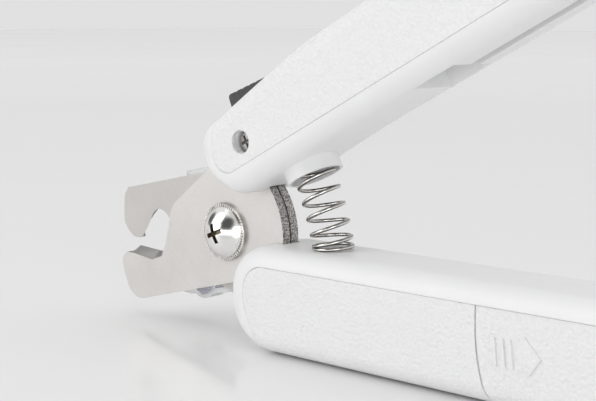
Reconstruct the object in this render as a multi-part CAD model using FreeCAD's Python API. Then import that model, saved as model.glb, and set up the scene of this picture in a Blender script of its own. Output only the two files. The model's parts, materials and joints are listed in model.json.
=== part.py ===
import FreeCAD, Part
import math
import os
from FreeCAD import Vector

# Pet nail trimmer: two crossed steel blades on one pivot screw, each fixed in a moulded handle.
# Everything is drawn in millimetres with the pivot axis at X = 0, Z = 0.
# X runs along the lower handle towards its end, Z is up, and Y runs along the pivot.
# Y = 0 is the plane where the two blades meet and where the handle shells part.
# Upper-handle pieces are drawn along X, as when the handles are parallel, and then swung open.
# Every piece is moved by "origin_shift" at the end, so that the origin is the bottom centre of the whole.

# ---- Driving dimensions ----
open_angle = 27.5            # angle between the two handles at rest, degrees
blade_t = 2.4                # thickness of each blade
tip_r = 36.6                 # radius of the jaws' outer edges about the pivot
disc_r = 16.9                # radius of the blades' rear edges about the pivot
slot_r = 17.5                # radius of the blade slots in the handle heads
slot_gap = 0.35              # side clearance of a blade in its slot

half_w = 10.0                # half the width of a handle
edge_r = 4.2                 # rounding of the handles' long edges
skin_t = 1.2                 # thickness of the grained grip skins
skin_gap = 0.08              # visible joint round a grip skin
wall_t = 3.0                 # shell wall, skin included

top_z = -0.75                # flat top of the lower handle
floor_z = -22.85             # flat bottom of the lower handle
low_x0 = 7.2                 # head end of the lower handle
low_x1 = 118.0               # far end of the lower handle
grip_z = -4.6                # upper edge of the lower handle's skin and battery cover

inner_t = 4.7                # inner face of the upper handle
outer_t = 24.4               # outer face of the upper handle
up_s1 = 119.0                # far end of the upper handle

cover_x = 70.3               # joint between the lower skin and the battery cover
cover_t = 1.6                # depth of the battery cover's inner face below the frame's surface
cover_inset = 0.3            # its sides lie this far below the frame's, and the mark stands up to them
cover_sweep = 4.1            # how far its front edge sweeps back, from "cover_bend_z" down to the floor
cover_bend_z = -8.0
cover_gap = 0.15             # clearance between cover and chassis
rib_z = -8.25                # height of the cover's guide ribs
battery_r = 5.25             # AAA cell
battery_len = 44.5           # AAA cell
battery_x = 69.6             # start of the cell
battery_z = -14.9            # axis of the cell
bay_w = 5.6                  # half width of the battery bay

pivot_r = 2.5                # shoulder of the pivot screw
pivot_fit = 0.04             # radial running clearance of the upper handle's blade on it
washer_t = 0.9
washer_r = 6.4
washer_teeth = 60
tooth_h = 0.3
serration_t = 0.25           # depth of the radial grooves in its face
dome_r = 5.5
dome_h = 3.1
dome_rim_h = 0.36            # straight edge under the dome
cross_half = 2.2             # half the length of its cross recess, and half the width
cross_half_w = 0.5
cross_turns = (-22.0, 68.0)
nut_h = 3.0
nut_r = 4.4

spring_r = 4.2               # mean radius of the return spring
wire_r = 0.43                # spring wire
spring_axis_r = 28.0         # distance of the spring's curved axis from the pivot
spring_turns = 6.3
boss_r = 6.0                 # spring boss on the upper handle
boss_bore_r = 5.3
boss_rim_t = 1.3             # mouth of the boss
boss_floor_t = 7.2           # bottom of its bore

screw_s = 20.3               # through screw of the upper handle's head
screw_t = 13.0
screw_hole_r = 2.35          # its deep hole
screw_seat_y = -6.9
upper_screw_s = (33.0, 52.0) # screws from the rear, with "lower_screw_x" in the lower handle
lower_screw_x = (24.0, 35.0, 61.0)
lower_screw_z = -11.0
rear_head_y = 8.75           # outer face of their heads
rear_seat_y = 7.2            # bottom of their counterbores
head_clear_r = 2.5
pillar_r = 2.6               # pillars round the screws that cross a hollow
shank_clear_r = 1.3
blade_hole_r = 1.35

slider_s0 = 15.7             # thumb slider of the lock
slider_s1 = 29.0
slider_half_w = 4.0
slider_floor_t = 20.6        # floor of its recess
slider_top_t = 25.2
lock_travel = 3.5
bolt_y0 = 0.35
bolt_y1 = 2.25
bolt_tip_s = 13.8
bolt_t0 = 12.0
bolt_t1 = 14.0

file_y0 = -0.1               # the nail file, folded into its slot
file_y1 = 1.3
file_pin_s = 110.5
file_pin_t = 11.0
file_pin_r = 1.5
file_tip_s = 65.5
file_slot_y0 = -1.0
file_slot_y1 = 2.2
recess_s0 = 62.7             # finger recess over the file's tip
recess_s1 = 75.0
recess_half_w = 6.2

guard_x0 = -21.0             # clear nail guard behind the blades
guard_y0 = 3.0
guard_y1 = 7.0
guard_wall = 1.2
lamp_x = -13.0
lamp_z = -13.3
lamp_r = 4.2
guard_screw_x = 14.6
guard_screw_z = -9.6

button_x = 52.0              # light button on the rear side
button_z = -12.5
button_r = 2.8
button_travel = 0.6

origin_shift = Vector((tip_r - low_x1) / 2.0, 0, -floor_z)
cos_open = math.cos(math.radians(open_angle))
sin_open = math.sin(math.radians(open_angle))


# ---- Drawing helpers ----
def outline(start, steps):
    """Closed wire in the XZ plane. A step is an end point, or a (through, end) pair for an arc."""
    edges = []
    here = Vector(start[0], 0, start[1])
    first = here
    for step in steps:
        if isinstance(step[0], tuple):
            through = Vector(step[0][0], 0, step[0][1])
            end = Vector(step[1][0], 0, step[1][1])
            edges.append(Part.Arc(here, through, end).toShape())
        else:
            end = Vector(step[0], 0, step[1])
            edges.append(Part.makeLine(here, end))
        here = end
    if here.distanceToPoint(first) > 1e-6:
        edges.append(Part.makeLine(here, first))
    return Part.Wire(edges)


def soft_outline(corners):
    """Closed wire in the XZ plane through (x, z, radius) corners, each corner rounded by a tangent arc."""
    steps = []
    count = len(corners)
    for i in range(count):
        here = Vector(corners[i][0], 0, corners[i][1])
        back = (Vector(corners[i - 1][0], 0, corners[i - 1][1]) - here).normalize()
        ahead = (Vector(corners[(i + 1) % count][0], 0, corners[(i + 1) % count][1]) - here).normalize()
        radius = corners[i][2]
        if radius == 0:
            steps.append((here.x, here.z))
            continue
        half = back.getAngle(ahead) / 2
        start = here + back * (radius / math.tan(half))
        end = here + ahead * (radius / math.tan(half))
        middle = here + (back + ahead).normalize() * (radius / math.sin(half) - radius)
        steps.append((start.x, start.z))
        steps.append(((middle.x, middle.z), (end.x, end.z)))
    return outline(steps[0], steps[1:])


def slab(wire, y0, y1):
    """The area of a wire drawn at Y = 0, from y0 to y1."""
    face = Part.Face(wire)
    face.translate(Vector(0, y0, 0))
    return face.extrude(Vector(0, y1 - y0, 0))


def block(x0, x1, y0, y1, z0, z1):
    return Part.makeBox(x1 - x0, y1 - y0, z1 - z0, Vector(x0, y0, z0))


def rod(r, y0, y1, x, z):
    """Cylinder along Y."""
    return Part.makeCylinder(r, y1 - y0, Vector(x, y0, z), Vector(0, 1, 0))


def on_circle(r, degrees):
    angle = math.radians(degrees)
    return (r * math.cos(angle), r * math.sin(angle))


def upper_point(s, t):
    """A point of the upper handle, in the open position."""
    return (s * cos_open - t * sin_open, s * sin_open + t * cos_open)


def swing_open(shape):
    moved = shape.copy()
    moved.rotate(Vector(0, 0, 0), Vector(0, 1, 0), -open_angle)
    return moved


def rounded(wire, inset):
    """A handle's outer form, or the form that lies "inset" inside it, with its long edges rounded."""
    if inset > 0:
        wire = wire.makeOffset2D(-inset)
        wire = Part.Wire(wire.Edges) if wire.ShapeType != "Wire" else wire
    side = half_w - inset
    body = slab(wire, -side, side)
    rims = []
    for edge in body.Edges:
        at_side = [abs(abs(v.Point.y) - side) < 1e-6 for v in edge.Vertexes]
        level = abs(edge.Vertexes[0].Point.y - edge.Vertexes[-1].Point.y) < 1e-6
        if all(at_side) and level:
            rims.append(edge)
    return body.makeFillet(edge_r - inset, rims)


def one_solid(shape):
    """The largest solid of a cut, without the empty wrapper."""
    return sorted(shape.Solids, key=lambda s: s.Volume)[-1]


def screw(head_r, head_h, length, x, z, y, toward):
    """Pan-head cross-recess screw. Its head starts at y and its shank runs in the "toward" direction."""
    d = Vector(0, toward, 0)
    base = Vector(x, y, z)
    head = Part.makeCylinder(head_r, head_h, base, d)
    head = head.makeFillet(head_h * 0.45, [head.Edges[2]])
    shank = Part.makeCylinder(shank_clear_r - 0.05, length, base + d * (head_h * 0.5), d)
    body = head.fuse(shank)
    deep = head_h * 0.6
    long = head_r * 0.62
    thin = head_r * 0.14
    y_low = y if toward > 0 else y - deep
    cross = block(x - long, x + long, y_low, y_low + deep, z - thin, z + thin)
    arm = block(x - thin, x + thin, y_low, y_low + deep, z - long, z + long)
    return one_solid(body.cut(cross).cut(arm))


# ---- Outlines ----
def lower_wire(grow=0.0):
    """Side view of the lower handle, its far end and bottom moved out by "grow"."""
    return soft_outline([
        (low_x0, top_z, 9.5),
        (low_x1 + grow, top_z, 7.0),
        (low_x1 + grow, floor_z - grow, 7.0),
        (low_x0, floor_z - grow, 11.0),
    ])


def upper_wire():
    return soft_outline([
        (45.0, inner_t, 60.0),
        (up_s1, inner_t, 7.0),
        (up_s1, outer_t, 7.0),
        (42.0, outer_t, 60.0),
        (8.4, 20.4, 5.5),
        (6.1, 10.9, 7.6),
        (12.6, 3.5, 7.6),
    ])


def lower_skin_area(grow):
    """Where the lower skin lies, grown by "grow" for its pocket. It ends at the battery cover."""
    wire = soft_outline([
        (cover_x + cover_sweep, grip_z + grow, 0),
        (12.2 - grow, grip_z + grow, 5.6),
        (12.6 - grow, -13.5, 12.0),
        (18.0 - grow, -24.0, 0),
        (cover_x + cover_sweep, -24.0, 0),
    ])
    return slab(wire, -half_w, half_w).cut(slab(cover_area(cover_gap), -half_w - 1, half_w + 1))


def cover_area(grow):
    """Side view of the battery cover. Its front edge sweeps back towards the floor."""
    x = cover_x + 0.15 - grow
    z = grip_z - 0.05 + grow
    low_z = -24.5
    middle_z = (cover_bend_z + low_z) / 2
    return outline(
        (x, z),
        [
            (low_x1 + 3, z),
            (low_x1 + 3, low_z),
            (x + cover_sweep, low_z),
            ((x + cover_sweep / 4, middle_z), (x, cover_bend_z)),
        ],
    )


def upper_skin_area(grow):
    return soft_outline([
        (up_s1 + 2, 8.6 - grow, 0),
        (11.9 - grow, 8.5 - grow, 4.0),
        (11.3 - grow, 13.6, 4.5),
        (13.8 - grow, 18.6, 4.0),
        (17.4 - grow, 26.0, 0),
        (up_s1 + 2, 26.0, 0),
    ])


# ---- Blades ----
def front_blade():
    """Lower jaw, with its tang in the upper handle. Drawn in the open position."""
    tang_low = 7.7
    tang_high = 17.6
    p_tang_low = upper_point(math.sqrt(disc_r ** 2 - tang_low ** 2), tang_low)
    p_end_low = upper_point(38.0, tang_low)
    p_end_high = upper_point(38.0, tang_high)
    p_high = upper_point(19.5, tang_high)
    corner = (15.15, -7.49)
    wire = outline(
        (-32.4, -8.3),
        [
            ((-33.9, -9.1), (-34.7, -10.9)),
            ((-34.15, -13.1), (-33.3, -15.1)),
            ((-30.6, -18.4), (-27.3, -18.73)),
            corner,
            (on_circle(disc_r, 10.0), p_tang_low),
            p_end_low,
            p_end_high,
            p_high,
            (-15.6, 5.4),
            ((-17.4, 3.4), (-18.0, 1.2)),
            (-19.5, -4.4),
            ((-21.3, -6.6), (-24.2, -7.3)),
            (-30.9, -6.9),
            (-32.4, -8.3),
        ],
    )
    blade = slab(wire, -blade_t, 0)
    blade = blade.cut(rod(pivot_r + pivot_fit, -blade_t, 0, 0, 0))
    for s in (screw_s, upper_screw_s[0]):
        blade = blade.cut(swing_open(rod(blade_hole_r, -blade_t, 0, s, screw_t)))
    ground = [
        ((-32.5, -8.4), (0.0, -0.05)),
        ((-30.9, -6.9), (-0.1, -1.5)),
        ((-24.2, -7.3), (-0.1, -1.9)),
        ((-21.3, -6.6), (0.3, -1.4)),
        ((-19.5, -4.4), (0.1, -0.05)),
    ]
    return one_solid(blade.cut(grinding(ground, -blade_t)))


def grinding(ground, side_y):
    """What is ground off one face of a blade, at "side_y", to leave a sharp edge on its other face at Y = 0.
    Each entry is a point of the edge and how far the slope runs back from it."""
    sections = []
    for (x, z), (run_x, run_z) in ground:
        past_y = side_y * 1.04
        sharp = Vector(x - run_x * 0.01, 0, z - run_z * 0.01)
        back = Vector(x + run_x * 1.04, past_y, z + run_z * 1.04)
        clear = Vector(x - run_x * 0.8, past_y, z - run_z * 0.8)
        sections.append(Part.makePolygon([back, sharp, clear, back]))
    pieces = []
    for i in range(len(sections) - 1):
        pieces.append(Part.makeLoft(sections[i:i + 2], True, True))
    return pieces[0].fuse(pieces[1:])


def back_blade():
    """Upper jaw, with its tang in the lower handle."""
    tang_top = -5.0
    tang_low = -17.4
    wire = outline(
        (-35.0, 6.5),
        [
            on_circle(disc_r, 67.0),
            (on_circle(disc_r, 25.0), (math.sqrt(disc_r ** 2 - 25.0), tang_top)),
            (40.0, tang_top),
            (40.0, tang_low),
            (9.0, tang_low),
            (-13.6, -9.2),
            ((-16.2, -7.4), (-17.6, -4.9)),
            (-20.0, -1.2),
            ((-21.6, 1.4), (-24.4, 2.45)),
            ((-25.9, 1.6), (-27.0, -0.2)),
            (-30.0, -4.6),
            ((-31.8, -5.15), (-34.3, -4.3)),
            ((-35.8, -2.9), on_circle(tip_r, 182.6)),
            (on_circle(tip_r, 178.0), on_circle(tip_r, 172.4)),
            (-35.0, 6.5),
        ],
    )
    blade = slab(wire, 0, blade_t)
    blade = blade.cut(rod(pivot_r, 0, blade_t, 0, 0))
    for x in lower_screw_x[:2]:
        blade = blade.cut(rod(blade_hole_r, 0, blade_t, x, lower_screw_z))
    catch = block(9.6, 22.0, 0, blade_t, bolt_t0 - 0.35, bolt_t1 + 0.35)
    ground = [
        ((-22.4, 2.05), (0.0, 0.05)),
        ((-24.4, 2.45), (-0.9, 1.2)),
        ((-27.0, -0.2), (-1.8, 1.3)),
        ((-30.0, -4.6), (-1.9, 1.1)),
        ((-31.8, -5.15), (-0.2, 0.6)),
    ]
    return one_solid(blade.cut(catch).cut(grinding(ground, blade_t)))


# ---- Pivot ----
def pivot_screw():
    y_face = -blade_t - washer_t
    cap_h = dome_h - dome_rim_h
    ball_r = (dome_r ** 2 + cap_h ** 2) / (2 * cap_h)
    ball = Part.makeSphere(ball_r, Vector(0, y_face - dome_h + ball_r, 0))
    dome = ball.common(rod(dome_r + 1, y_face - dome_h, y_face - dome_rim_h, 0, 0))
    rim = rod(dome_r, y_face - dome_rim_h, y_face, 0, 0)
    shank = rod(pivot_r, y_face - 0.1, blade_t + nut_h, 0, 0)
    body = dome.fuse([rim, shank])
    recess_y = y_face - dome_h - 0.1
    for turn in cross_turns:
        arm = block(-cross_half, cross_half, recess_y, recess_y + 1.7, -cross_half_w, cross_half_w)
        arm.rotate(Vector(0, 0, 0), Vector(0, 1, 0), turn)
        body = body.cut(arm)
    return one_solid(body)


def serrated_washer():
    points = []
    for i in range(2 * washer_teeth):
        r = washer_r if i % 2 == 0 else washer_r - tooth_h
        points.append(on_circle(r, 180.0 * i / washer_teeth))
    face_y = -blade_t - washer_t
    star = slab(outline(points[0], points[1:]), face_y, -blade_t)
    grooves = []
    for i in range(washer_teeth):
        groove = block(dome_r - 0.3, washer_r + 1, face_y - 0.1, face_y + serration_t, -0.15, 0.15)
        groove.rotate(Vector(0, 0, 0), Vector(0, 1, 0), -180.0 * (2 * i + 1) / washer_teeth)
        grooves.append(groove)
    star = star.cut(grooves)
    return one_solid(star.cut(rod(pivot_r + pivot_fit, face_y, -blade_t, 0, 0)))


def pivot_nut():
    corners = [on_circle(nut_r, 60.0 * i + 15.0) for i in range(6)]
    nut = slab(outline(corners[0], corners[1:]), blade_t, blade_t + nut_h)
    return one_solid(nut.cut(rod(pivot_r, blade_t, blade_t + nut_h, 0, 0)))


# ---- Return spring ----
def return_spring():
    """Coil whose axis is an arc about the pivot, from the lower handle's top into the boss."""
    first = math.degrees(math.asin((top_z + wire_r + 0.02) / spring_axis_r))
    tilt = 1.1
    last = open_angle + math.degrees(math.asin((boss_floor_t - wire_r - tilt) / spring_axis_r))
    steps = int(spring_turns * 12)
    points = []
    for i in range(steps + 1):
        f = i / steps
        flat = 0.13
        g = min(max((f - flat) / (1 - 2 * flat), 0.0), 1.0)
        lift = f * 0.08 + g * 0.92
        along = math.radians(first + (last - first) * lift)
        turn = 2 * math.pi * spring_turns * f - 0.6
        out = spring_axis_r + spring_r * math.cos(turn)
        points.append(Vector(out * math.cos(along), spring_r * math.sin(turn), out * math.sin(along)))
    curve = Part.BSplineCurve()
    curve.interpolate(points)
    path = Part.Wire([curve.toShape()])
    direction = curve.tangent(curve.FirstParameter)[0]
    ring = Part.Wire([Part.makeCircle(wire_r, points[0], direction)])
    return one_solid(path.makePipeShell([ring], True, True))


# ---- Lower handle ----
def lower_solid():
    """The frame of the lower handle before it is parted into two shells."""
    wire = lower_wire()
    body = rounded(wire, 0)
    skin_pocket = rounded(wire, 0).cut(rounded(wire, skin_t)).common(lower_skin_area(skin_gap))
    cover_pocket = rounded(wire, 0).cut(rounded(wire, cover_t + cover_gap)).common(
        slab(cover_area(cover_gap), -half_w, half_w))
    body = body.cut(skin_pocket).cut(cover_pocket)
    hollow = rounded(wire, wall_t).common(block(43.0, 64.5, -half_w, half_w, -24.0, 0.0))
    hollow = hollow.cut(rod(pillar_r, -half_w, half_w, lower_screw_x[2], lower_screw_z))
    body = body.cut(hollow)
    bay_x1 = battery_x + battery_len + 0.4
    bay = block(battery_x - 3.2, bay_x1, -bay_w, bay_w, battery_z - battery_r - 0.2, -9.3)
    mouth = block(cover_x + cover_sweep + 0.4, bay_x1, -bay_w, bay_w, floor_z - 1.0, -12.0)
    body = body.cut(bay).cut(mouth)
    for side in (-1, 1):
        face_y = side * (half_w - cover_t - cover_gap)
        groove_y = sorted((face_y, face_y - side * 1.0))
        body = body.cut(block(74.0, low_x1 + 1, groove_y[0], groove_y[1], rib_z - 0.95, rib_z + 0.95))
    disc_slot = rod(slot_r, -blade_t - slot_gap, 0.0, 0, 0)
    body = body.cut(disc_slot).cut(back_blade())
    body = body.cut(rod(slot_r, 0.0, blade_t, 0, 0))
    return body


def lower_shells():
    body = lower_solid()
    body = body.cut(guard_body())
    for x in lower_screw_x:
        body = body.cut(rod(shank_clear_r, -7.0, rear_head_y, x, lower_screw_z))
        body = body.cut(rod(head_clear_r, rear_seat_y, half_w, x, lower_screw_z))
    body = body.cut(rod(button_r + 0.3, 4.0, half_w, button_x, button_z))
    body = body.cut(rod(shank_clear_r, 4.0, rear_head_y, guard_screw_x, guard_screw_z))
    body = body.cut(rod(2.2, 7.5, 8.8, guard_screw_x, guard_screw_z))
    wire_way = block(7.0, 44.0, 4.9, 5.8, -13.4, -12.4)
    body = body.cut(wire_way)
    near = body.common(block(-40, 130, -20, 0, -40, 20))
    far = body.common(block(-40, 130, 0, 20, -40, 20))
    return one_solid(near), one_solid(far)


def lower_grip_skin():
    wire = lower_wire()
    skin = rounded(wire, 0).cut(rounded(wire, skin_t)).common(lower_skin_area(0))
    return one_solid(skin.cut(rod(button_r + 0.25, 4.0, half_w + 1, button_x, button_z)))


def battery_cover():
    cover = rounded(lower_wire(cover_inset), cover_inset).cut(rounded(lower_wire(), cover_t))
    cover = cover.common(slab(cover_area(0), -half_w, half_w))
    for side in (-1, 1):
        face_y = side * (half_w - cover_t - 0.05)
        rib_y = sorted((face_y + side * 0.2, face_y - side * 0.9))
        cover = cover.fuse(block(76.0, 112.0, rib_y[0], rib_y[1], rib_z - 0.55, rib_z + 0.55))
    return one_solid(cover.fuse(slide_mark()))


def slide_mark():
    """Raised mark on the near face: three bars and an arrow that points the way the cover slides."""
    bars = []
    for x in (74.0, 75.8, 77.4):
        bars.append([(x, -9.7), (x + 0.9, -9.7), (x + 0.9, -15.0), (x, -15.0)])
    arrow = [
        (79.1, -9.7), (81.1, -9.7), (81.1, -8.6), (84.2, -12.3),
        (81.1, -15.9), (81.1, -15.0), (79.1, -15.0),
    ]
    shapes = []
    for corners in bars + [arrow]:
        leaned = [(x - 0.12 * (z + 12.3), z) for x, z in corners]
        shapes.append(slab(outline(leaned[0], leaned[1:]), -half_w, -half_w + cover_inset + 0.1))
    return shapes


def lower_screws():
    solids = []
    for x in lower_screw_x:
        solids.append(screw(2.2, 1.3, 13.0, x, lower_screw_z, rear_head_y, -1))
    return Part.makeCompound(solids)


# ---- Light ----
def battery():
    x0 = battery_x
    can = Part.makeCylinder(battery_r, battery_len - 0.9, Vector(x0, 0, battery_z), Vector(1, 0, 0))
    can = can.makeFillet(0.5, [can.Edges[0], can.Edges[2]])
    nub = Part.makeCylinder(1.8, 1.2, Vector(x0 + battery_len - 1.2, 0, battery_z), Vector(1, 0, 0))
    return one_solid(can.fuse(nub))


def contact_spring():
    """Coil that presses on the cell's flat end."""
    helix = Part.makeHelix(0.85, 2.55, 2.6)
    wire = Part.Wire(helix.Edges)
    ring = Part.Wire([Part.makeCircle(0.25, Vector(2.6, 0, 0), Vector(0, 1, 0))])
    coil = wire.makePipeShell([ring], True, True)
    coil.rotate(Vector(0, 0, 0), Vector(0, 1, 0), 90)
    coil.translate(Vector(battery_x - 2.85, 0, battery_z))
    return one_solid(coil)


def contact_plate():
    x0 = battery_x + battery_len
    return block(x0, x0 + 0.4, -4.6, 4.6, battery_z - 4.4, battery_z + 4.4)


def light_board():
    board = block(44.0, 64.0, 3.0, 4.0, -18.5, -5.5)
    board = board.cut(rod(pillar_r + 0.1, 2.0, 5.0, lower_screw_x[2], lower_screw_z))
    parts = [
        block(45.5, 48.5, 2.0, 3.0, -9.0, -6.5),
        block(50.5, 53.0, 1.6, 3.0, -16.5, -14.0),
        block(55.5, 57.5, 2.2, 3.0, -8.5, -7.0),
    ]
    return one_solid(board.fuse(parts))


def switch_body():
    return block(button_x - 2.6, button_x + 2.6, 4.0, 5.6, button_z - 2.6, button_z + 2.6)


def light_button():
    flange = rod(button_r + 1.0, 6.3, 7.0 - 0.3, button_x, button_z)
    cap = rod(button_r, 6.3, half_w - 0.15, button_x, button_z)
    cap = cap.makeFillet(0.5, [cap.Edges[2]])
    stem = rod(1.2, 5.6 + button_travel + 0.05, 6.4, button_x, button_z)
    return one_solid(cap.fuse([flange, stem]))


def guard_body():
    """Clear guard behind the jaws: a rear wall with a lip below, and a tail held in the lower handle."""
    wire = outline(
        (guard_x0, 11.05),
        [
            (-11.0, 13.2),
            (-5.5, 11.2),
            (5.2, 2.0),
            (17.5, -6.5),
            (17.5, -14.8),
            (-4.0, -14.8),
            (-7.4, -15.6),
            (-17.2, -17.1),
            (-19.2, -16.9),
            ((-20.5, -16.4), (guard_x0, -15.0)),
            (guard_x0, 11.05),
        ],
    )
    rear = slab(wire, guard_y1 - guard_wall, guard_y1)
    inside = wire.makeOffset2D(-guard_wall)
    rim = slab(wire, guard_y0, guard_y1).cut(slab(inside, guard_y0, guard_y1))
    rim = rim.common(block(-30.0, 3.2, 0, 10, -30, -12.0))
    pod = rod(lamp_r, guard_y0, guard_y1, lamp_x, lamp_z)
    body = rear.fuse([rim, pod])
    return one_solid(body)


def clear_guard():
    body = guard_body()
    body = body.cut(rod(lamp_r - 0.9, guard_y0 - 0.1, guard_y1 - 0.8, lamp_x, lamp_z))
    return one_solid(body.cut(rod(1.3, guard_y0, guard_y1, guard_screw_x, guard_screw_z)))


def lamp_lens():
    """Tinted disc that closes the lamp pod."""
    return rod(lamp_r - 0.95, guard_y0 + 0.1, guard_y0 + 0.9, lamp_x, lamp_z)


def led():
    """Round lamp with a domed nose, in the pod, aimed at the jaws."""
    body = Part.makeCylinder(0.95, 1.8, Vector(0, 0, 0), Vector(0, 0, 1))
    nose = Part.makeSphere(0.95, Vector(0, 0, 1.8))
    flange = Part.makeCylinder(1.05, 0.4, Vector(0, 0, -0.4), Vector(0, 0, 1))
    lamp = body.fuse([nose, flange])
    lamp.rotate(Vector(0, 0, 0), Vector(0, 1, 0), -40)
    lamp.translate(Vector(lamp_x + 0.8, guard_y0 + 2.1, lamp_z - 0.9))
    return one_solid(lamp)


def led_wires():
    wires = []
    for z in (-13.1, -12.65):
        wires.append(Part.makeCylinder(0.2, 52.0, Vector(lamp_x + lamp_r + 0.1, 5.35, z), Vector(1, 0, 0)))
    return Part.makeCompound(wires)


def guard_screw():
    return screw(2.0, 1.2, 3.6, guard_screw_x, guard_screw_z, rear_head_y, -1)


# ---- Upper handle ----
def boss_solid(bored):
    """The spring boss, or the bore in it."""
    s = math.sqrt(spring_axis_r ** 2 - inner_t ** 2)
    up = Vector(0, 0, 1)
    if bored:
        depth = boss_floor_t - boss_rim_t
        return Part.makeCylinder(boss_bore_r, depth + 1, Vector(s, 0, boss_rim_t - 1), up)
    return Part.makeCylinder(boss_r, 8.0, Vector(s, 0, boss_rim_t), up)


def finger_recess():
    wire = outline(
        (recess_s0, 0.0),
        [
            (recess_s0, inner_t + 4.2),
            ((recess_s0 + 5.0, inner_t + 3.6), (recess_s1, 0.0)),
        ],
    )
    return slab(wire, -recess_half_w, recess_half_w)


def file_slot():
    low = block(file_tip_s - 1.2, up_s1 + 2, file_slot_y0, file_slot_y1, 0.0, 15.6)
    high = block(file_pin_s - 4.6, up_s1 + 2, file_slot_y0, file_slot_y1, 0.0, 16.6)
    return low.fuse(high)


def slider_recess(floor_t):
    return block(11.2, slider_s1 + 1.0, -slider_half_w - 0.4, slider_half_w + 0.4, floor_t, 27.0)


def upper_solid():
    wire = upper_wire()
    body = rounded(wire, 0)
    body = body.fuse(boss_solid(False))
    skin_pocket = rounded(wire, 0).cut(rounded(wire, skin_t)).common(
        slab(upper_skin_area(skin_gap), -half_w, half_w))
    body = body.cut(skin_pocket)
    hollow = rounded(wire, wall_t).common(block(42.0, 114.0, -half_w, half_w, 0.0, 30.0))
    hollow = hollow.cut(block(60.0, 120.0, file_slot_y0 - 1.4, file_slot_y1 + 1.4, 0.0, 30.0))
    hollow = hollow.cut(block(60.0, 78.0, -half_w, half_w, 0.0, 11.5))
    hollow = hollow.cut(rod(pillar_r, -half_w, half_w, upper_screw_s[1], screw_t))
    hollow = hollow.cut(rod(pillar_r, -half_w, half_w, file_pin_s, file_pin_t))
    body = body.cut(hollow)
    for opening in (boss_solid(True), finger_recess(), file_slot(), slider_recess(slider_floor_t)):
        body = body.cut(opening)
    return body


def upper_shells():
    body = upper_solid()
    tang = front_blade()
    tang.rotate(Vector(0, 0, 0), Vector(0, 1, 0), open_angle)
    tang_pocket = tang.common(block(-10, 60, -10, 10, -5, 30))
    body = body.cut(tang_pocket)
    body = body.cut(rod(slot_r, -blade_t, blade_t + slot_gap, 0, 0))
    guide = block(bolt_tip_s - lock_travel - 0.6, 17.65, 0.0, bolt_y1 + 0.3, bolt_t0 - 0.3, 18.3)
    stem_way = block(12.5, 20.8, 0.0, bolt_y1 + 0.3, 16.3, slider_floor_t + 1)
    body = body.cut(guide).cut(stem_way)
    body = body.cut(rod(screw_hole_r, -half_w - 1, screw_seat_y, screw_s, screw_t))
    body = body.cut(rod(shank_clear_r, -8.0, 7.2, screw_s, screw_t))
    for s in upper_screw_s:
        body = body.cut(rod(shank_clear_r, -7.0, rear_head_y, s, screw_t))
        body = body.cut(rod(head_clear_r, rear_seat_y, half_w, s, screw_t))
    body = body.cut(rod(file_pin_r, -7.6, 7.6, file_pin_s, file_pin_t))
    near = body.common(block(-40, 130, -20, 0, -40, 40))
    far = body.common(block(-40, 130, 0, 20, -40, 40))
    return one_solid(near), one_solid(far)


def upper_grip_skin():
    wire = upper_wire()
    skin = rounded(wire, 0).cut(rounded(wire, skin_t)).common(slab(upper_skin_area(0), -half_w, half_w))
    skin = skin.cut(slider_recess(slider_floor_t - 2.0)).cut(file_slot())
    return one_solid(skin.cut(rod(screw_hole_r + 0.1, -half_w - 1, -5.0, screw_s, screw_t)))


def head_screw():
    return screw(2.15, 1.4, 13.2, screw_s, screw_t, screw_seat_y - 1.4, 1)


def upper_screws():
    solids = []
    for s in upper_screw_s:
        solids.append(screw(2.2, 1.3, 13.0, s, screw_t, rear_head_y, -1))
    return Part.makeCompound(solids)


# ---- Lock ----
def lock_slider():
    """Ribbed thumb wedge."""
    base = slider_floor_t + 0.2
    rise = 1.1
    slope = rise / (slider_s1 - slider_s0 - 3.3)
    wire = outline(
        (slider_s0, base),
        [
            (slider_s0 + 0.3, slider_top_t - 0.8),
            ((slider_s0 + 0.6, slider_top_t - 0.15), (slider_s0 + 1.3, slider_top_t)),
            (slider_s1 - 2.0, slider_top_t - rise),
            ((slider_s1 - 0.5, slider_top_t - rise - 0.7), (slider_s1, slider_top_t - rise - 2.0)),
            (slider_s1, base),
        ],
    )
    wedge = slab(wire, -slider_half_w, slider_half_w)
    for i in range(4):
        s = slider_s0 + 2.6 + 2.0 * i
        top = slider_top_t - (s - slider_s0 - 1.3) * slope
        wedge = wedge.cut(block(s, s + 0.6, -slider_half_w - 1, slider_half_w + 1, top - 0.15, top + 2))
    return one_solid(wedge)


def lock_bolt():
    """Flat steel crank that the slider pushes into the back blade's catch."""
    wire = outline(
        (bolt_tip_s, bolt_t0),
        [
            (17.3, bolt_t0),
            (17.3, 16.6),
            (20.4, 16.6),
            (20.4, slider_floor_t + 0.2),
            (16.4, slider_floor_t + 0.2),
            (16.4, 17.9),
            (14.6, 17.9),
            (14.6, bolt_t1),
            (bolt_tip_s, bolt_t1),
        ],
    )
    return slab(wire, bolt_y0, bolt_y1)


# ---- Nail file ----
def nail_file():
    end_r = 4.1
    wire = outline(
        (file_tip_s, 8.2),
        [
            (file_tip_s + 4.0, 6.3),
            (file_pin_s, file_pin_t - end_r),
            ((file_pin_s + end_r, file_pin_t), (file_pin_s, file_pin_t + end_r)),
            (file_tip_s + 4.0, 14.6),
            ((file_tip_s + 1.0, 13.4), (file_tip_s, 10.8)),
        ],
    )
    blade = slab(wire, file_y0, file_y1)
    blade = blade.cut(rod(file_pin_r + pivot_fit, file_y0, file_y1, file_pin_s, file_pin_t))
    for i in range(24):
        s = file_tip_s + 6.0 + 1.4 * i
        for y in (file_y0 - 0.5, file_y1 - 0.12):
            groove = block(s, s + 0.5, y, y + 0.62, 7.4, 13.9)
            blade = blade.cut(groove)
    return one_solid(blade)


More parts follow.
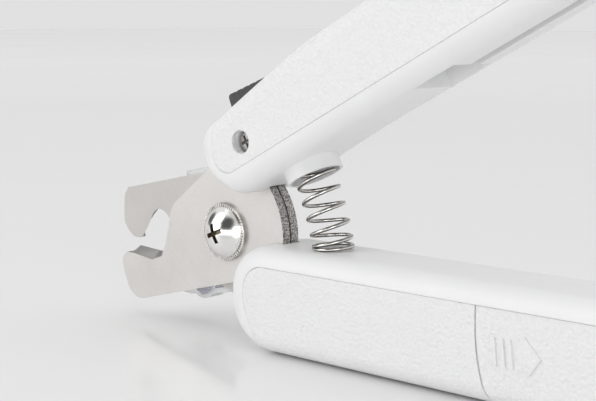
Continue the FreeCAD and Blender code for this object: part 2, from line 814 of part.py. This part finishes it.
def file_pin():
    return rod(file_pin_r, -7.5, 7.5, file_pin_s, file_pin_t)


# ---- Assembly ----
def save(name, shape):
    shape = shape.copy()
    shape.translate(origin_shift)
    shape.exportStep("parts/" + name + ".step")
    ok = all(s.isValid() for s in shape.Solids)
    box = shape.BoundBox
    print("%-20s solids %d valid %s vol %8.1f  X %.2f..%.2f Y %.2f..%.2f Z %.2f..%.2f" % (
        name, len(shape.Solids), ok, shape.Volume,
        box.XMin, box.XMax, box.YMin, box.YMax, box.ZMin, box.ZMax))


def main():
    os.makedirs("parts", exist_ok=True)
    save("front_blade", front_blade())
    save("back_blade", back_blade())
    save("pivot_screw", pivot_screw())
    save("serrated_washer", serrated_washer())
    save("pivot_nut", pivot_nut())
    save("return_spring", return_spring())
    near, far = lower_shells()
    save("lower_front_shell", near)
    save("lower_rear_shell", far)
    save("lower_grip_skin", lower_grip_skin())
    save("lower_screws", lower_screws())
    save("battery_cover", battery_cover())
    save("battery", battery())
    save("contact_spring", contact_spring())
    save("contact_plate", contact_plate())
    save("light_board", light_board())
    save("switch_body", switch_body())
    save("light_button", light_button())
    save("clear_guard", clear_guard())
    save("guard_screw", guard_screw())
    save("lamp_lens", lamp_lens())
    save("led", led())
    save("led_wires", led_wires())
    near, far = upper_shells()
    save("upper_front_shell", swing_open(near))
    save("upper_rear_shell", swing_open(far))
    save("upper_grip_skin", swing_open(upper_grip_skin()))
    save("head_screw", swing_open(head_screw()))
    save("upper_screws", swing_open(upper_screws()))
    save("lock_slider", swing_open(lock_slider()))
    save("lock_bolt", swing_open(lock_bolt()))
    save("nail_file", swing_open(nail_file()))
    save("file_pin", swing_open(file_pin()))


main()
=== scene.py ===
import json
import math

import bpy
import bmesh
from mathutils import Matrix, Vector


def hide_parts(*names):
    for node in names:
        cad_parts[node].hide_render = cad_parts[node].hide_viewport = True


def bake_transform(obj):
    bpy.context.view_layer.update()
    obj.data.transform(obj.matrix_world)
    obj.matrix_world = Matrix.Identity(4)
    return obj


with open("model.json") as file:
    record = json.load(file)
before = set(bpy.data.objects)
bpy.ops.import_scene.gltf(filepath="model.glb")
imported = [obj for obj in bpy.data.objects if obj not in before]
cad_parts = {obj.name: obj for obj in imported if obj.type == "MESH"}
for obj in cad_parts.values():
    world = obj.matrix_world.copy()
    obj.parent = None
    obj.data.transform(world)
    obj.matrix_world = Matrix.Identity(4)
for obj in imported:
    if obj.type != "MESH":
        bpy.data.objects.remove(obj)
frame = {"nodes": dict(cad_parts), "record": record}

# ---- Frame ----
NODES = frame["nodes"]
JOINTS = {joint["name"]: joint for joint in frame["record"]["behaviour"]["joints"]}
PIVOT = Vector(JOINTS["handle_hinge"]["pos_m"])
MM = 0.001
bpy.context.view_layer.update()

# ---- Camera: the viewing angle, seen from the pivot ----
VIEW_AZIMUTH = 42.0
VIEW_ELEVATION = 8.0
CAMERA_FROM_PIVOT = Vector((199.51, -200.51, 46.31)) * MM
LENS = 78.83
SENSOR = 36.0


def add_camera():
    azimuth = math.radians(VIEW_AZIMUTH)
    elevation = math.radians(VIEW_ELEVATION)
    back = Vector((
        math.sin(azimuth) * math.cos(elevation),
        -math.cos(azimuth) * math.cos(elevation),
        math.sin(elevation),
    ))
    data = bpy.data.cameras.new("camera")
    data.lens = LENS
    data.sensor_width = SENSOR
    data.clip_start = 0.01
    data.clip_end = 20.0
    camera = bpy.data.objects.new("camera", data)
    camera.location = PIVOT + CAMERA_FROM_PIVOT
    camera.rotation_mode = "QUATERNION"
    camera.rotation_quaternion = (-back).to_track_quat("-Z", "Y")
    bpy.context.collection.objects.link(camera)
    bpy.context.scene.camera = camera


# ---- Material helpers ----
def new_material(name):
    material = bpy.data.materials.new(name)
    material.use_nodes = True
    tree = material.node_tree
    shader = tree.nodes["Principled BSDF"]
    return material, tree, shader


def node(tree, kind, **values):
    """A shader node with its sockets or properties set by name."""
    made = tree.nodes.new(kind)
    for key, value in values.items():
        if key in made.inputs:
            made.inputs[key].default_value = value
        else:
            setattr(made, key, value)
    return made


def coordinates(tree, scale=(1.0, 1.0, 1.0)):
    """Object coordinates in metres, stretched by scale."""
    source = tree.nodes.new("ShaderNodeTexCoord")
    mapping = node(tree, "ShaderNodeMapping", Scale=scale)
    tree.links.new(source.outputs["Object"], mapping.inputs["Vector"])
    return mapping.outputs["Vector"]


def split(tree, vector):
    """The X, Y and Z of a vector."""
    made = tree.nodes.new("ShaderNodeSeparateXYZ")
    tree.links.new(vector, made.inputs[0])
    return made.outputs["X"], made.outputs["Y"], made.outputs["Z"]


def surface_direction(tree):
    """The X, Y and Z of the direction that the piece's surface faces."""
    source = tree.nodes.new("ShaderNodeTexCoord")
    return split(tree, source.outputs["Normal"])


def noise(tree, where, scale, detail=4.0, roughness=0.55):
    made = node(tree, "ShaderNodeTexNoise", Scale=scale, Detail=detail, Roughness=roughness)
    tree.links.new(where, made.inputs["Vector"])
    return made.outputs["Fac"]


def ramp(tree, factor, stops):
    """Colour ramp with (position, colour) stops; a number stands for a grey."""
    made = tree.nodes.new("ShaderNodeValToRGB")
    elements = made.color_ramp.elements
    while len(elements) < len(stops):
        elements.new(0.5)
    for element, (position, colour) in zip(elements, stops):
        element.position = position
        element.color = (colour,) * 3 + (1.0,) if isinstance(colour, float) else tuple(colour) + (1.0,)
    tree.links.new(factor, made.inputs["Fac"])
    return made.outputs["Color"]


def span(tree, factor, low, high, from_low=0.0, from_high=1.0):
    """A factor stretched to run from low to high."""
    made = tree.nodes.new("ShaderNodeMapRange")
    made.inputs["From Min"].default_value = from_low
    made.inputs["From Max"].default_value = from_high
    made.inputs["To Min"].default_value = low
    made.inputs["To Max"].default_value = high
    tree.links.new(factor, made.inputs["Value"])
    return made.outputs["Result"]


def invert(tree, factor):
    return span(tree, factor, 1.0, 0.0)


def absolute(tree, value):
    made = node(tree, "ShaderNodeMath", operation="ABSOLUTE")
    tree.links.new(value, made.inputs[0])
    return made.outputs[0]


def multiply(tree, first, second):
    made = node(tree, "ShaderNodeMath", operation="MULTIPLY")
    tree.links.new(first, made.inputs[0])
    tree.links.new(second, made.inputs[1])
    return made.outputs[0]


def mix(tree, kind, factor, first, second, **values):
    """A blend from first to second, of kind RGBA, FLOAT or VECTOR. Any of the three may be a constant."""
    made = node(tree, "ShaderNodeMix", data_type=kind, **values)
    for name, value in (("Factor", factor), ("A", first), ("B", second)):
        if isinstance(value, bpy.types.NodeSocket):
            tree.links.new(value, made.inputs[name])
        else:
            made.inputs[name].default_value = value
    return made.outputs["Result"]


def bump(tree, shader, height, distance, strength):
    made = node(tree, "ShaderNodeBump", Strength=strength, Distance=distance)
    tree.links.new(height, made.inputs["Height"])
    tree.links.new(made.outputs["Normal"], shader.inputs["Normal"])


# ---- Materials ----
# A texture's scale is in cells per metre, and a bump's distance is in metres.
WHITE_IOR = 1.45
CLEAR_IOR = 1.49
DOME_R = 5.5 * MM
DOME_H = 3.1 * MM
DOME_RIM_H = 0.36 * MM
DOME_FACE = 3.3 * MM


def gloss_white():
    """Smooth white moulded plastic of the frames."""
    material, tree, shader = new_material("white_frame")
    where = coordinates(tree)
    cloud = noise(tree, where, 90.0)
    colour = ramp(tree, cloud, [(0.3, (0.865, 0.865, 0.868)), (0.7, (0.885, 0.885, 0.888))])
    tree.links.new(colour, shader.inputs["Base Color"])
    tree.links.new(span(tree, noise(tree, where, 260.0), 0.34, 0.42), shader.inputs["Roughness"])
    shader.inputs["IOR"].default_value = WHITE_IOR
    bump(tree, shader, noise(tree, where, 1400.0, 2.0), 0.000008, 0.2)
    return material


def grained_white():
    """White moulded plastic with a fine leather grain: small rounded cells with creases between them."""
    material, tree, shader = new_material("white_grain")
    where = coordinates(tree)
    warp = node(tree, "ShaderNodeTexNoise", Scale=700.0, Detail=2.0)
    tree.links.new(where, warp.inputs["Vector"])
    warped = mix(tree, "VECTOR", 0.0007, where, warp.outputs["Color"])
    cells = node(tree, "ShaderNodeTexVoronoi", Scale=1500.0, feature="SMOOTH_F1")
    cells.inputs["Smoothness"].default_value = 0.6
    tree.links.new(warped, cells.inputs["Vector"])
    creases = span(tree, cells.outputs["Distance"], 1.0, 0.0, 0.15, 0.8)
    height = node(tree, "ShaderNodeMath", operation="MULTIPLY_ADD")
    height.inputs[1].default_value = 0.9
    tree.links.new(noise(tree, where, 520.0, 3.0), height.inputs[0])
    tree.links.new(creases, height.inputs[2])
    bump(tree, shader, height.outputs[0], 0.00016, 0.9)
    # The creases between the cells get a slightly darker colour than the cells: painted shade.
    colour = ramp(tree, creases, [(0.0, (0.85, 0.85, 0.853)), (0.6, (0.875, 0.875, 0.88))])
    tree.links.new(colour, shader.inputs["Base Color"])
    tree.links.new(span(tree, creases, 0.55, 0.45), shader.inputs["Roughness"])
    shader.inputs["IOR"].default_value = WHITE_IOR
    return material


def blade_steel(name, faces_low, faces_high):
    """Satin faces with fine grinding lines, smooth edges at the jaws darkened by a painted dark reflection,
    and speckled ones behind them.
    A dark line runs where the two blades meet."""
    material, tree, shader = new_material(name)
    where = coordinates(tree)
    x, y, _ = split(tree, where)
    _, facing_y, _ = surface_direction(tree)
    fine = noise(tree, coordinates(tree, (1.0, 1.0, 9.0)), 800.0, 5.0, 0.7)
    grit = noise(tree, where, 3000.0, 2.0, 0.8)

    satin = ramp(tree, noise(tree, where, 70.0, 3.0), [(0.3, faces_low), (0.7, faces_high)])
    line_shade = ramp(tree, fine, [(0.3, 0.80), (0.7, 1.0)])
    faces = mix(tree, "RGBA", 0.55, satin, line_shade, blend_type="MULTIPLY")
    speckles = ramp(tree, grit, [(0.42, (0.15, 0.145, 0.14)), (0.58, (0.72, 0.70, 0.68))])
    # The jaws' ground edges: real grinding lines on a dark level that is a painted dark reflection.
    ground_painted_reflection = ramp(tree, fine, [(0.3, (0.27, 0.262, 0.255)), (0.7, (0.36, 0.35, 0.34))])

    on_edge = span(tree, absolute(tree, facing_y), 1.0, 0.0, 0.55, 0.75)
    at_jaws = span(tree, x, 1.0, 0.0, PIVOT.x - 13 * MM, PIVOT.x - 11 * MM)
    on_speckles = multiply(tree, on_edge, invert(tree, at_jaws))
    at_seam = span(tree, absolute(tree, y), 1.0, 0.0, 0.10 * MM, 0.28 * MM)
    edges = mix(tree, "RGBA", at_jaws, speckles, ground_painted_reflection)
    colour = mix(tree, "RGBA", on_edge, faces, edges)
    seam_colour = (0.015, 0.014, 0.013, 1.0)
    colour = mix(tree, "RGBA", multiply(tree, on_speckles, at_seam), colour, seam_colour)
    tree.links.new(colour, shader.inputs["Base Color"])
    shader.inputs["Metallic"].default_value = 0.7
    roughness = mix(tree, "FLOAT", on_speckles, span(tree, fine, 0.34, 0.46), 0.6)
    tree.links.new(roughness, shader.inputs["Roughness"])
    bump(tree, shader, mix(tree, "FLOAT", on_speckles, span(tree, fine, 0.0, 0.12), grit), 0.00006, 0.7)
    return material


def screw_chrome():
    """Polished dome whose cross recess is matt and darkened by painted shade: what lies inside the dome's
    sphere is recess.
    """
    material, tree, shader = new_material("screw_chrome")
    where = coordinates(tree)
    cap = DOME_H - DOME_RIM_H
    ball = (DOME_R ** 2 + cap ** 2) / (2 * cap)
    distance = node(tree, "ShaderNodeVectorMath", operation="DISTANCE")
    distance.inputs[1].default_value = PIVOT + Vector((0.0, -DOME_FACE - DOME_H + ball, 0.0))
    tree.links.new(where, distance.inputs[0])
    inside = span(tree, distance.outputs["Value"], 1.0, 0.0, ball - 0.22 * MM, ball - 0.08 * MM)
    _, y, _ = split(tree, where)
    front = span(tree, y, 1.0, 0.0, -DOME_FACE - 1.2 * MM, -DOME_FACE - 1.0 * MM)
    recess = multiply(tree, inside, front)
    bright = ramp(tree, noise(tree, where, 200.0), [(0.3, (0.87, 0.86, 0.845)), (0.7, (0.93, 0.92, 0.905))])
    # Painted shade: the cross recess gets a dark brownish grey colour.
    recess_painted_shade = ramp(tree, noise(tree, where, 1800.0), [(0.35, (0.09, 0.075, 0.055)), (0.65, (0.34, 0.29, 0.215))])
    tree.links.new(mix(tree, "RGBA", recess, bright, recess_painted_shade), shader.inputs["Base Color"])
    shader.inputs["Metallic"].default_value = 1.0
    polish = span(tree, noise(tree, where, 900.0, 3.0), 0.13, 0.19)
    tree.links.new(mix(tree, "FLOAT", recess, polish, 0.5), shader.inputs["Roughness"])
    bump(tree, shader, noise(tree, where, 350.0, 2.0), 0.00001, 0.15)
    return material


def chrome():
    material, tree, shader = new_material("chrome")
    where = coordinates(tree)
    colour = ramp(tree, noise(tree, where, 200.0), [(0.3, (0.86, 0.855, 0.84)), (0.7, (0.93, 0.925, 0.91))])
    tree.links.new(colour, shader.inputs["Base Color"])
    shader.inputs["Metallic"].default_value = 1.0
    tree.links.new(span(tree, noise(tree, where, 900.0, 3.0), 0.03, 0.09), shader.inputs["Roughness"])
    bump(tree, shader, noise(tree, where, 350.0, 2.0), 0.00002, 0.25)
    return material


def coil_steel():
    """Drawn wire with a painted reflection: bright along its sides with a dark streak above and below,
    painted by the way its surface faces.
    """
    material, tree, shader = new_material("spring_steel")
    where = coordinates(tree)
    _, _, facing_z = surface_direction(tree)
    # Painted reflection: the wire's colour is light or dark by the way its surface faces.
    painted_reflection_streaks = ramp(tree, span(tree, facing_z, 0.0, 1.0, -1.0, 1.0), [
        (0.0, (0.30, 0.28, 0.26)),
        (0.30, (0.16, 0.15, 0.14)),
        (0.52, (0.95, 0.93, 0.90)),
        (0.68, (0.60, 0.58, 0.55)),
        (0.86, (0.20, 0.19, 0.18)),
        (1.0, (0.42, 0.40, 0.38)),
    ])
    wear = ramp(tree, noise(tree, where, 700.0), [(0.35, 0.75), (0.65, 1.0)])
    colour = mix(tree, "RGBA", 0.5, painted_reflection_streaks, wear, blend_type="MULTIPLY")
    tree.links.new(colour, shader.inputs["Base Color"])
    shader.inputs["Metallic"].default_value = 1.0
    tree.links.new(span(tree, noise(tree, where, 1500.0), 0.14, 0.24), shader.inputs["Roughness"])
    bump(tree, shader, noise(tree, where, 2500.0, 2.0), 0.00001, 0.2)
    return material


def plain_steel(name, low, high, rough):
    """Plated or bare steel of the small parts, between two greys."""
    material, tree, shader = new_material(name)
    where = coordinates(tree)
    colour = ramp(tree, noise(tree, where, 700.0), [(0.35, low), (0.65, high)])
    tree.links.new(colour, shader.inputs["Base Color"])
    shader.inputs["Metallic"].default_value = 1.0
    tree.links.new(span(tree, noise(tree, where, 1500.0), *rough), shader.inputs["Roughness"])
    bump(tree, shader, noise(tree, where, 2500.0, 2.0), 0.00002, 0.3)
    return material


def plastic(name, low, high, rough, grain_scale):
    """Moulded plastic with a slight texture."""
    material, tree, shader = new_material(name)
    texture = noise(tree, coordinates(tree), grain_scale, 3.0)
    tree.links.new(ramp(tree, texture, [(0.3, low), (0.7, high)]), shader.inputs["Base Color"])
    tree.links.new(span(tree, texture, *rough), shader.inputs["Roughness"])
    bump(tree, shader, texture, 0.00004, 0.5)
    return material


def clear_plastic(name, tint_low, tint_high, transmission):
    """Clear plastic, milkier the further its transmission is below 1."""
    material, tree, shader = new_material(name)
    where = coordinates(tree)
    cloud = noise(tree, where, 120.0)
    tree.links.new(ramp(tree, cloud, [(0.3, tint_low), (0.7, tint_high)]), shader.inputs["Base Color"])
    tree.links.new(span(tree, cloud, 0.02, 0.08), shader.inputs["Roughness"])
    shader.inputs["Transmission Weight"].default_value = transmission
    shader.inputs["IOR"].default_value = CLEAR_IOR
    bump(tree, shader, noise(tree, where, 300.0, 2.0), 0.00002, 0.2)
    return material


def paint(name, material):
    obj = NODES[name]
    obj.data.materials.clear()
    obj.data.materials.append(material)


# ---- Softened edges ----
BLADE_ROUND = 0.12 * MM
SKIN_ROUND = 0.16 * MM
WELD_DISTANCE = 0.002 * MM
SHARP_ANGLE = 35.0


def soften(name, width):
    """Breaks a CAD piece's sharp edges with a small round, so that they catch the light."""
    obj = NODES[name]
    joined = obj.modifiers.new("weld", "WELD")
    joined.merge_threshold = WELD_DISTANCE
    corner = obj.modifiers.new("corners", "BEVEL")
    corner.limit_method = "ANGLE"
    corner.angle_limit = math.radians(SHARP_ANGLE)
    corner.width = width
    corner.segments = 2
    corner.use_clamp_overlap = True
    corner.harden_normals = True
    shade = obj.modifiers.new("normals", "WEIGHTED_NORMAL")
    shade.keep_sharp = True


# ---- Return spring: wire coiled along a curve from the lower handle's top into the boss ----
# Angles are in degrees. The first, the last and the steps are about the pivot; a step is the rise of a turn.
SPRING_FOOT_R = 28.8 * MM      # distance of the coil's axis from the pivot, at its foot
SPRING_DRAW_IN = 1.4 * MM      # how far the axis bows towards the pivot
SPRING_DRAW_SPAN = 0.87        # share of that bow's half wave that the spring covers
COIL_R = 4.02 * MM
WIRE_R = 0.40 * MM
FIRST_ANGLE = -1.05
LAST_ANGLE = 39.0
FIRST_TURN = -160.0            # where round the coil the wire starts
CLOSED_TURNS = 1.07            # the seated coil
CLOSED_STEP = 1.25
RISING_TURNS = 1.0             # the first open coil
RISING_STEP = 5.2
FREE_STEP = 7.2                # the other open coils
END_TURNS = 0.5                # the closed top
TOP_LEAN = 27.5                # lean of the coils at the top, which they gain quickly above the foot
LEAN_POWER = 0.42
POINTS_PER_TURN = 64
WIRE_SIDES = 14
EASE_TURNS = 0.3               # over which each change of step is smoothed
END_TAPER = 0.9                # the wire's thickness at its two cut ends, as a share


def spring_stages():
    """Turns and step of the seated coil, the first open coil, the other open coils and the closed top."""
    seated_rise = CLOSED_STEP * (CLOSED_TURNS + END_TURNS) + RISING_STEP * RISING_TURNS
    free_rise = LAST_ANGLE - FIRST_ANGLE - seated_rise
    return (
        (CLOSED_TURNS, CLOSED_STEP),
        (RISING_TURNS, RISING_STEP),
        (free_rise / FREE_STEP, FREE_STEP),
        (END_TURNS, CLOSED_STEP),
    )


def spring_rise(turn, stages):
    """How far the wire has risen after some turns."""
    rise = 0.0
    for turns, step in stages:
        part = min(max(turn, 0.0), turns)
        rise += part * step
        turn -= turns
    return rise


def eased_rise(turn, total, stages):
    """The rise averaged over the turns nearby, so that the bends between stages are smooth."""
    rises = []
    for shift in (-2, -1, 0, 1, 2):
        nearby = min(max(turn + shift * EASE_TURNS / 4, 0.0), total)
        rises.append(spring_rise(nearby, stages))
    return sum(rises) / len(rises)


def spring_line():
    """Centre points of the wire, each with the direction from the coil's axis."""
    stages = spring_stages()
    total = sum(turns for turns, _ in stages)
    count = int(total * POINTS_PER_TURN)
    line = []
    for index in range(count + 1):
        turn = total * index / count
        rise = eased_rise(turn, total, stages)
        height = rise / (LAST_ANGLE - FIRST_ANGLE)
        angle = math.radians(FIRST_ANGLE + rise)
        lean = math.radians(TOP_LEAN * height ** LEAN_POWER)
        reach = SPRING_FOOT_R - SPRING_DRAW_IN * math.sin(math.pi * SPRING_DRAW_SPAN * height)
        phase = math.radians(FIRST_TURN) + 2 * math.pi * turn
        outward = Vector((math.cos(angle), 0.0, math.sin(angle)))
        leaning = Vector((math.cos(lean), 0.0, math.sin(lean)))
        radial = leaning * math.cos(phase) + Vector((0.0, 1.0, 0.0)) * math.sin(phase)
        line.append((PIVOT + outward * reach + radial * COIL_R, radial))
    return line


def spring_mesh():
    """A closed tube round the wire's line."""
    line = spring_line()
    made = bmesh.new()
    rings = []
    for index, (point, radial) in enumerate(line):
        before = line[max(index - 1, 0)][0]
        after = line[min(index + 1, len(line) - 1)][0]
        along = (after - before).normalized()
        across = (radial - along * radial.dot(along)).normalized()
        other = along.cross(across)
        taper = END_TAPER if index in (0, len(line) - 1) else 1.0
        ring = []
        for side in range(WIRE_SIDES):
            angle = 2 * math.pi * side / WIRE_SIDES
            offset = across * math.cos(angle) + other * math.sin(angle)
            ring.append(made.verts.new(point + offset * WIRE_R * taper))
        rings.append(ring)
    for first, second in zip(rings, rings[1:]):
        for side in range(WIRE_SIDES):
            following = (side + 1) % WIRE_SIDES
            made.faces.new((first[side], first[following], second[following], second[side]))
    made.faces.new(list(reversed(rings[0])))
    made.faces.new(rings[-1])
    bmesh.ops.recalc_face_normals(made, faces=made.faces)
    mesh = bpy.data.meshes.new("coil_spring")
    made.to_mesh(mesh)
    made.free()
    mesh.shade_smooth()
    return mesh


def add_spring(material):
    spring = bpy.data.objects.new("coil_spring", spring_mesh())
    spring.data.materials.append(material)
    bpy.context.collection.objects.link(spring)
    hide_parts("return_spring")
    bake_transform(spring)


# ---- Studio: floor, sky and lights ----
FLOOR_HALF = 6.0
FLOOR_Z = -0.4 * MM
FLOOR_NEAR = 0.5               # between these distances from the origin the floor grows lighter: painted light
FLOOR_FAR = 3.0
SKY = 0.80
# Soft round areas of the sky: direction, half angle and soft rim in degrees, brightness
SKY_PATCHES = (
    ((-0.67, 0.74, 0.0), 32.0, 22.0, 0.75),      # backdrop behind the object, as the camera sees it
    ((0.10, -0.90, 0.55), 20.0, 16.0, 0.08),     # dark, high in front
    ((-0.98, -0.25, 0.36), 9.0, 9.0, 0.08),      # small and dark, off the -X end
    ((0.90, -0.20, 0.75), 12.0, 14.0, 0.25),     # dim, high off the +X end
    ((-0.50, -0.62, 0.62), 15.0, 5.0, 2.4),      # bright soft light, high in front towards -X
)
# Name, place, target, size in metres, watts
LIGHTS = (
    ("key", (-0.55, -0.70, 0.25), (0.0, 0.0, 0.03), (0.7, 0.4), 1.1),
    ("side", (0.75, -0.55, 0.20), (0.0, 0.0, 0.04), (0.6, 0.3), 1.2),
    ("low", (0.10, -0.80, 0.06), (0.0, 0.0, 0.05), (0.9, 0.12), 0.75),
    ("top", (0.05, -0.10, 0.95), (0.0, 0.0, 0.0), (1.1, 1.1), 1.1),
)


def area_light(name, place, target, size, power):
    data = bpy.data.lights.new(name, "AREA")
    data.shape = "RECTANGLE"
    data.size, data.size_y = size
    data.energy = power
    light = bpy.data.objects.new(name, data)
    light.location = place
    light.rotation_mode = "QUATERNION"
    light.rotation_quaternion = (Vector(target) - Vector(place)).to_track_quat("-Z", "Y")
    light.visible_camera = False
    bpy.context.collection.objects.link(light)


def add_floor(material):
    """A flat sheet just below the object."""
    mesh = bpy.data.meshes.new("floor")
    made = bmesh.new()
    corners = []
    for x, y in ((-1, -1), (1, -1), (1, 1), (-1, 1)):
        corners.append(made.verts.new((x * FLOOR_HALF, y * FLOOR_HALF, FLOOR_Z)))
    made.faces.new(corners)
    made.to_mesh(mesh)
    made.free()
    floor = bpy.data.objects.new("floor", mesh)
    floor.data.materials.append(material)
    bpy.context.collection.objects.link(floor)


def floor_material():
    """Pale, faintly glossy sheet, lighter far away: painted light."""
    material, tree, shader = new_material("floor_white")
    where = coordinates(tree)
    cloud = noise(tree, where, 3.0)
    distance = node(tree, "ShaderNodeVectorMath", operation="LENGTH")
    tree.links.new(where, distance.inputs[0])
    far = span(tree, distance.outputs["Value"], 0.0, 1.0, FLOOR_NEAR, FLOOR_FAR)
    # The far colour is lighter than the near one: painted light.
    near_colour = ramp(tree, cloud, [(0.3, 0.885), (0.7, 0.895)])
    far_colour = ramp(tree, cloud, [(0.3, 0.945), (0.7, 0.955)])
    tree.links.new(mix(tree, "RGBA", far, near_colour, far_colour), shader.inputs["Base Color"])
    tree.links.new(span(tree, cloud, 0.13, 0.14), shader.inputs["Roughness"])
    shader.inputs["Specular IOR Level"].default_value = 0.3
    return material


def patch(tree, direction, towards, half_angle, soft):
    """1 inside a round patch of the sky about a direction, 0 outside, with a soft rim."""
    dot = node(tree, "ShaderNodeVectorMath", operation="DOT_PRODUCT")
    dot.inputs[1].default_value = Vector(towards).normalized()
    tree.links.new(direction, dot.inputs[0])
    inner = math.cos(math.radians(half_angle))
    outer = math.cos(math.radians(half_angle + soft))
    made = span(tree, dot.outputs["Value"], 0.0, 1.0, outer, inner)
    made.node.interpolation_type = "SMOOTHSTEP"
    return made


def set_world():
    """A pale studio: one bright soft patch, dark ones that give polished steel its contrast, and a backdrop
    slightly dimmer than the rest."""
    world = bpy.data.worlds.new("studio")
    bpy.context.scene.world = world
    world.use_nodes = True
    tree = world.node_tree
    background = tree.nodes["Background"]
    source = tree.nodes.new("ShaderNodeTexCoord")
    level = SKY
    for towards, half_angle, soft, brightness in SKY_PATCHES:
        mask = patch(tree, source.outputs["Generated"], towards, half_angle, soft)
        level = mix(tree, "FLOAT", mask, level, brightness)
    tree.links.new(level, background.inputs["Color"])
    background.inputs["Strength"].default_value = 1.0


# ---- Build ----
bpy.context.scene.view_settings.view_transform = "Standard"
add_camera()
set_world()
add_floor(floor_material())
for light in LIGHTS:
    area_light(*light)

white = gloss_white()
grain = grained_white()
steel = blade_steel("blade_steel", (0.655, 0.635, 0.615), (0.72, 0.70, 0.68))
# The back blade's steel is darker than the front blade's: painted shade, standing in for the shadow that the
# front blade casts on it.
rear_steel_painted_shade = blade_steel("blade_steel_rear_painted_shade", (0.56, 0.54, 0.52), (0.62, 0.60, 0.58))
dome = screw_chrome()
bright = chrome()
plate = plain_steel("plated_washer", (0.50, 0.49, 0.47), (0.72, 0.71, 0.69), (0.12, 0.24))
wire = coil_steel()
screw = plain_steel("screw_steel", (0.32, 0.31, 0.30), (0.5, 0.49, 0.47), (0.2, 0.4))
dark = plastic("dark_grey", (0.035, 0.035, 0.038), (0.06, 0.06, 0.064), (0.35, 0.5), 1200.0)
black = plastic("black_plastic", (0.015, 0.015, 0.015), (0.04, 0.04, 0.04), (0.4, 0.6), 1500.0)
green = plastic("board_green", (0.01, 0.09, 0.03), (0.03, 0.17, 0.06), (0.3, 0.5), 800.0)
sleeve = plastic("cell_wrap", (0.25, 0.27, 0.30), (0.34, 0.36, 0.40), (0.2, 0.35), 300.0)
insulation = plastic("wire_white", (0.75, 0.75, 0.73), (0.85, 0.85, 0.83), (0.35, 0.5), 900.0)
clear = clear_plastic("clear", (0.93, 0.94, 0.95), (0.98, 0.99, 1.0), 0.72)
violet = clear_plastic("violet_lens", (0.70, 0.67, 0.78), (0.80, 0.77, 0.87), 0.8)

LOOKS = {
    "front_blade": steel, "back_blade": rear_steel_painted_shade, "nail_file": steel,
    "pivot_screw": dome, "serrated_washer": plate, "pivot_nut": bright,
    "return_spring": wire, "contact_spring": wire, "contact_plate": wire,
    "lower_front_shell": white, "lower_rear_shell": white,
    "upper_front_shell": white, "upper_rear_shell": white,
    "lower_grip_skin": grain, "upper_grip_skin": grain, "battery_cover": grain,
    "lower_screws": screw, "upper_screws": screw, "head_screw": screw, "guard_screw": screw,
    "lock_bolt": screw, "file_pin": screw,
    "lock_slider": dark, "light_button": dark, "switch_body": black, "light_board": green,
    "battery": sleeve, "led_wires": insulation,
    "clear_guard": clear, "led": clear, "lamp_lens": violet,
}
for name, material in LOOKS.items():
    paint(name, material)
add_spring(wire)
for name in ("front_blade", "back_blade"):
    soften(name, BLADE_ROUND)
for name in ("lower_grip_skin", "upper_grip_skin", "battery_cover"):
    soften(name, SKIN_ROUND)
